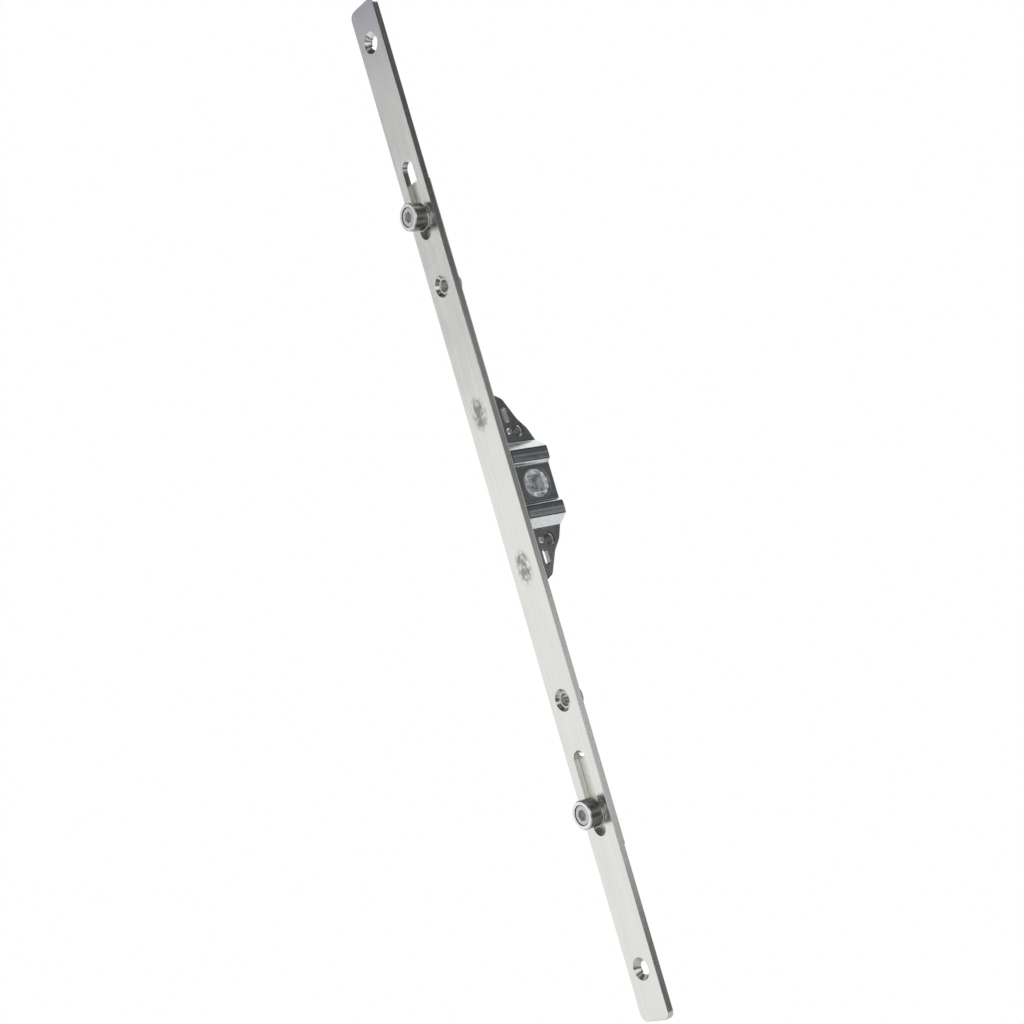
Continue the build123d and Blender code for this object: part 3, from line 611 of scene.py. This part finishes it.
# %% Struck stakes and their bruises
STAKE_HEIGHT = 0.030
STRUCK_FRONT = -0.01485
STRUCK_LIGHT_TONE = (0.56, 0.555, 0.54)
STRUCK_DARK_TONE = (0.30, 0.295, 0.285)
BRUISE_HALF_WIDTH = 0.0040
BRUISE_HALF_LENGTH = 0.0062
BRUISE_END, BRUISE_FULL = 1.5, 0.6
BRUISE_TONE = (0.42, 0.415, 0.40)
struck = compute(case_tree, "LESS_THAN", case_place["X"], STRUCK_FRONT)
overlay(case, STRUCK_LIGHT_TONE, struck)
struck_blotches = mottle(case_tree, fineness=420.0, low=0.56, high=0.44)
overlay(case, STRUCK_DARK_TONE, compute(case_tree, "MULTIPLY", struck, struck_blotches))
plate = finishes["faceplate_zinc"]
plate_tree = plate.node_tree
plate_place = axes(plate_tree, "ShaderNodeTexCoord", "Object")
along = compute(plate_tree, "SUBTRACT",
                compute(plate_tree, "ABSOLUTE", plate_place["Z"]), STAKE_HEIGHT)
across = compute(plate_tree, "POWER",
                 compute(plate_tree, "DIVIDE", plate_place["Y"], BRUISE_HALF_WIDTH), 2.0)
length = compute(plate_tree, "POWER",
                 compute(plate_tree, "DIVIDE", along, BRUISE_HALF_LENGTH), 2.0)
oval = band(plate_tree, compute(plate_tree, "ADD", across, length), BRUISE_END, BRUISE_FULL)
bruise_blotches = mottle(plate_tree, fineness=520.0, low=0.36, high=0.56)
overlay(plate, BRUISE_TONE, compute(plate_tree, "MULTIPLY", oval, bruise_blotches))
print("nodes in the plate finish", len(plate_tree.nodes))

# %% [markdown]
# ## Marks that the tools leave
# The CAD solids are clean. Each mark that follows is a low closed piece of its own, shaped in
# edit mode and seated on the solid that carries it. Sculpting the solids would be the other
# way, but a CAD node keeps its mesh, and a piece can ride on the same body. What comes twice is
# modelled once and copied.


# %% Modelling helpers
SMOOTH_ANGLE = math.radians(40)


def activate(piece):
    """Make one piece the only selected and active object."""
    deselect_all()
    piece.select_set(True)
    bpy.context.view_layer.objects.active = piece


def start_edit(piece):
    """Go into edit mode on one piece, with all of it selected."""
    activate(piece)
    bpy.ops.object.mode_set(mode="EDIT")
    bpy.ops.mesh.select_mode(type="VERT")
    bpy.ops.mesh.select_all(action="SELECT")


def end_edit():
    """Go back to object mode."""
    bpy.ops.object.mode_set(mode="OBJECT")


def pick_vertices(piece, wanted):
    """Select the vertices for which wanted(place) is true, in edit mode."""
    bpy.ops.mesh.select_all(action="DESELECT")
    bpy.ops.object.mode_set(mode="OBJECT")
    for vertex in piece.data.vertices:
        vertex.select = wanted(vertex.co)
    bpy.ops.object.mode_set(mode="EDIT")


def apply_modifier(piece, kind, **values):
    """Add a modifier with some settings and apply it."""
    modifier = piece.modifiers.new(kind.lower(), kind)
    for name, value in values.items():
        setattr(modifier, name, value)
    bpy.ops.object.modifier_apply(modifier=modifier.name)


def copy_piece(piece, name):
    """Second piece of the same shape, with a mesh of its own."""
    activate(piece)
    bpy.ops.object.duplicate()
    twin = bpy.context.object
    twin.name = name
    return twin


def seat(piece, place, facing, body, slot):
    """Turn local +Z to a direction, move to a place, bake both, and hang it on a body."""
    spin = Vector(facing).to_track_quat("Z", "Y")
    piece.matrix_world = Matrix.Translation(Vector(place)) @ spin.to_matrix().to_4x4()
    activate(piece)
    bpy.ops.object.transform_apply(location=True, rotation=True, scale=True)
    bpy.ops.object.shade_smooth_by_angle(angle=SMOOTH_ANGLE)
    piece.data.materials.append(finishes[slot])
    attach(piece, body)
    print(piece.name, "faces", len(piece.data.polygons))


# %% [markdown]
# ### Upset lips round the stakes
# The blow that spreads a tenon squeezes a low uneven lip of steel out round it. Its line has
# two round lobes and a narrow waist. It could be drawn point by point, but a circle that is
# open below, two straight stretches and a mirror give it with three sizes. A round curve bevel
# gives the line a body, and a little random movement makes it uneven.

# %% Upset lips round the stakes
LOBE_RADIUS = 0.00222
LOBE_MIDDLE = 0.00265
STAKE_WAIST_HALF = 0.00135
LIP_RADIUS = 0.00026
LIP_FLATNESS = 0.6
LIP_UNEVENNESS = 0.00007
LIP_POINTS = 44
LIP_MIDDLE = -0.01503
SAME_PLACE = 1e-5


def shape_lip(name):
    """Closed bead that follows two lobes and the waist between them."""
    deselect_all()
    bpy.ops.mesh.primitive_circle_add(vertices=LIP_POINTS, radius=LOBE_RADIUS)
    lip = bpy.context.object
    lip.name = name
    start_edit(lip)
    pick_vertices(lip, lambda co: abs(co.x) < STAKE_WAIST_HALF and co.y < 0)
    bpy.ops.mesh.delete(type="VERT")
    bpy.ops.mesh.select_all(action="SELECT")
    bpy.ops.transform.translate(value=(0, LOBE_MIDDLE, 0))
    end_edit()
    lowest = min(vertex.co.y for vertex in lip.data.vertices)
    start_edit(lip)
    pick_vertices(lip, lambda co: co.y < lowest + SAME_PLACE)
    bpy.ops.mesh.extrude_region_move(TRANSFORM_OT_translate={"value": (0, -lowest, 0)})
    end_edit()
    apply_modifier(lip, "MIRROR", use_axis=(False, True, False),
                   merge_threshold=2 * SAME_PLACE)
    bpy.ops.object.convert(target="CURVE")
    lip.data.bevel_depth = LIP_RADIUS
    lip.data.bevel_resolution = 2
    bpy.ops.object.convert(target="MESH")
    lip = bpy.context.object
    start_edit(lip)
    bpy.ops.transform.resize(value=(1, 1, LIP_FLATNESS))
    end_edit()
    return lip


def roughen_lip(lip, seed):
    """Move the vertices a little, the same way in each run."""
    start_edit(lip)
    bpy.ops.transform.vertex_random(offset=LIP_UNEVENNESS, seed=seed)
    bpy.ops.mesh.vertices_smooth(factor=0.5)
    bpy.ops.mesh.normals_make_consistent(inside=False)
    end_edit()


upper_lip = shape_lip("upper_stake_lip")
lower_lip = copy_piece(upper_lip, "lower_stake_lip")
roughen_lip(upper_lip, seed=3)
roughen_lip(lower_lip, seed=4)
seat(upper_lip, (LIP_MIDDLE, 0, STAKE_HEIGHT), (-1, 0, 0), "lock_body", "case_steel")
seat(lower_lip, (LIP_MIDDLE, 0, -STAKE_HEIGHT), (-1, 0, 0), "lock_body", "case_steel")

# %% [markdown]
# ### Threads of the handle bushes
# The handle screws grip in tapped bushes, and the first turns of the thread show in the holes.
# A bump could suggest rings, but a thread climbs. A small triangle and the Screw modifier make
# the true helix, and its two open ends are filled.

# %% Threads of the handle bushes
THREAD_RADIUS = 0.00208
THREAD_PITCH = 0.0008
THREAD_TURNS = 6
THREAD_STEPS = 28
THREAD_START = 0.0007
THREAD_RISE = 0.00022
THREAD_SIDES = 3
HANDLE_SCREW_HALF_PITCH = 0.0215


def shape_thread(name):
    """Helical ridge made by a triangular section that climbs as it turns."""
    deselect_all()
    bpy.ops.mesh.primitive_circle_add(vertices=THREAD_SIDES, radius=THREAD_RISE)
    ridge = bpy.context.object
    ridge.name = name
    start_edit(ridge)
    bpy.ops.transform.rotate(value=math.radians(90), orient_axis="X",
                             center_override=(0, 0, 0))
    bpy.ops.transform.translate(value=(THREAD_RADIUS, 0, 0))
    end_edit()
    apply_modifier(ridge, "SCREW", axis="Z", screw_offset=THREAD_PITCH, steps=THREAD_STEPS,
                   render_steps=THREAD_STEPS, iterations=THREAD_TURNS)
    start_edit(ridge)
    bpy.ops.mesh.fill_holes(sides=THREAD_SIDES)
    bpy.ops.mesh.select_all(action="SELECT")
    bpy.ops.mesh.normals_make_consistent(inside=False)
    end_edit()
    return ridge


upper_thread = shape_thread("upper_bush_thread")
lower_thread = copy_piece(upper_thread, "lower_bush_thread")
for ridge, height in ((upper_thread, HANDLE_SCREW_HALF_PITCH),
                      (lower_thread, -HANDLE_SCREW_HALF_PITCH)):
    seat(ridge, (0, THREAD_START, height), (0, 1, 0), "lock_body", "bush_zinc")

# %% [markdown]
# ### Rolled rim of the follower window
# The die that presses the round window leaves a low rounded rim. A torus would be quicker, but
# it is round in section, and this rim is wide and low. So a flattened circle is carried round
# the window's axis by the Screw modifier, with no climb. The Spin operator gives the same
# shape, but it numbers the faces in another order each time. The rim lies half sunk in the
# steel.

# %% Rolled rim of the follower window
WINDOW_RADIUS = 0.00585
WINDOW_FACE = -0.0032
RIM_WIDTH = 0.00050
RIM_HEIGHT = 0.00007
RIM_POINTS = 10
RIM_STEPS = 72
deselect_all()
bpy.ops.mesh.primitive_circle_add(vertices=RIM_POINTS, radius=RIM_WIDTH / 2)
rim = bpy.context.object
rim.name = "follower_window_rim"
start_edit(rim)
bpy.ops.transform.resize(value=(1, 2 * RIM_HEIGHT / RIM_WIDTH, 1))
bpy.ops.transform.rotate(value=math.radians(-90), orient_axis="X",
                         center_override=(0, 0, 0))
bpy.ops.transform.translate(value=(WINDOW_RADIUS + RIM_WIDTH / 2, 0, 0))
end_edit()
apply_modifier(rim, "SCREW", axis="Z", angle=2 * math.pi, screw_offset=0, steps=RIM_STEPS,
               render_steps=RIM_STEPS)
start_edit(rim)
bpy.ops.mesh.normals_make_consistent(inside=False)
end_edit()
seat(rim, (0, WINDOW_FACE, 0), (0, -1, 0), "lock_body", "case_steel")

# %% [markdown]
# ### Riveted tails of the cam studs
# The studs are riveted over behind the rail with a spinning tool, which leaves a ring of
# shallow facets round a dimple. A bump would give the shading but no height. A thin disc gets
# three insets, up and then down twice, each given as a share of the radius and of the rise,
# and parts of the ring are lowered to make the facets. It is sunk a tenth of a millimetre into
# the stud.

# %% Riveted tails of the cam studs
TAIL_RADIUS = 0.0031
CAD_TAIL_RADIUS = 0.0035
TAIL_RISE = 0.00035
TAIL_SUNK = 0.0001
TAIL_SIDES = 24
TAIL_INSETS = ((0.25, 1.0), (0.35, -0.6), (0.10, -0.2))
TAIL_FACETS = 6
FACETS_FROM_RADIUS = 0.7 * TAIL_RADIUS
FACET_WIDTH_COSINE = 0.6
FACET_SQUEEZE = (0.96, 0.96, 0.5)


def shape_tail(name):
    """Ring of shallow facets round a dimple, on a thin disc."""
    deselect_all()
    bpy.ops.mesh.primitive_cylinder_add(vertices=TAIL_SIDES, radius=TAIL_RADIUS,
                                        depth=TAIL_SUNK, location=(0, 0, -TAIL_SUNK / 2))
    tail = bpy.context.object
    tail.name = name
    bpy.ops.object.transform_apply(location=True, rotation=True, scale=True)
    start_edit(tail)
    pick_vertices(tail, lambda co: co.z > -TAIL_SUNK / 2)
    for inwards, upwards in TAIL_INSETS:
        bpy.ops.mesh.inset(thickness=TAIL_RADIUS * inwards, depth=TAIL_RISE * upwards)
    end_edit()
    start_edit(tail)
    pick_vertices(tail, lambda co: co.z > SAME_PLACE
                  and math.hypot(co.x, co.y) > FACETS_FROM_RADIUS
                  and math.cos(TAIL_FACETS * math.atan2(co.y, co.x)) > FACET_WIDTH_COSINE)
    bpy.ops.transform.resize(value=FACET_SQUEEZE, center_override=(0, 0, 0))
    bpy.ops.mesh.select_all(action="SELECT")
    bpy.ops.mesh.normals_make_consistent(inside=False)
    end_edit()
    return tail


upper_tail = shape_tail("upper_riveted_tail")
lower_tail = copy_piece(upper_tail, "lower_riveted_tail")
for tail, end in ((upper_tail, "upper"), (lower_tail, "lower")):
    low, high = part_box(f"{end}_cam_stud")
    seat(tail, (high[0], 0, low[2] + CAD_TAIL_RADIUS), (1, 0, 0), f"{end}_cam_stud",
         "stud_steel")
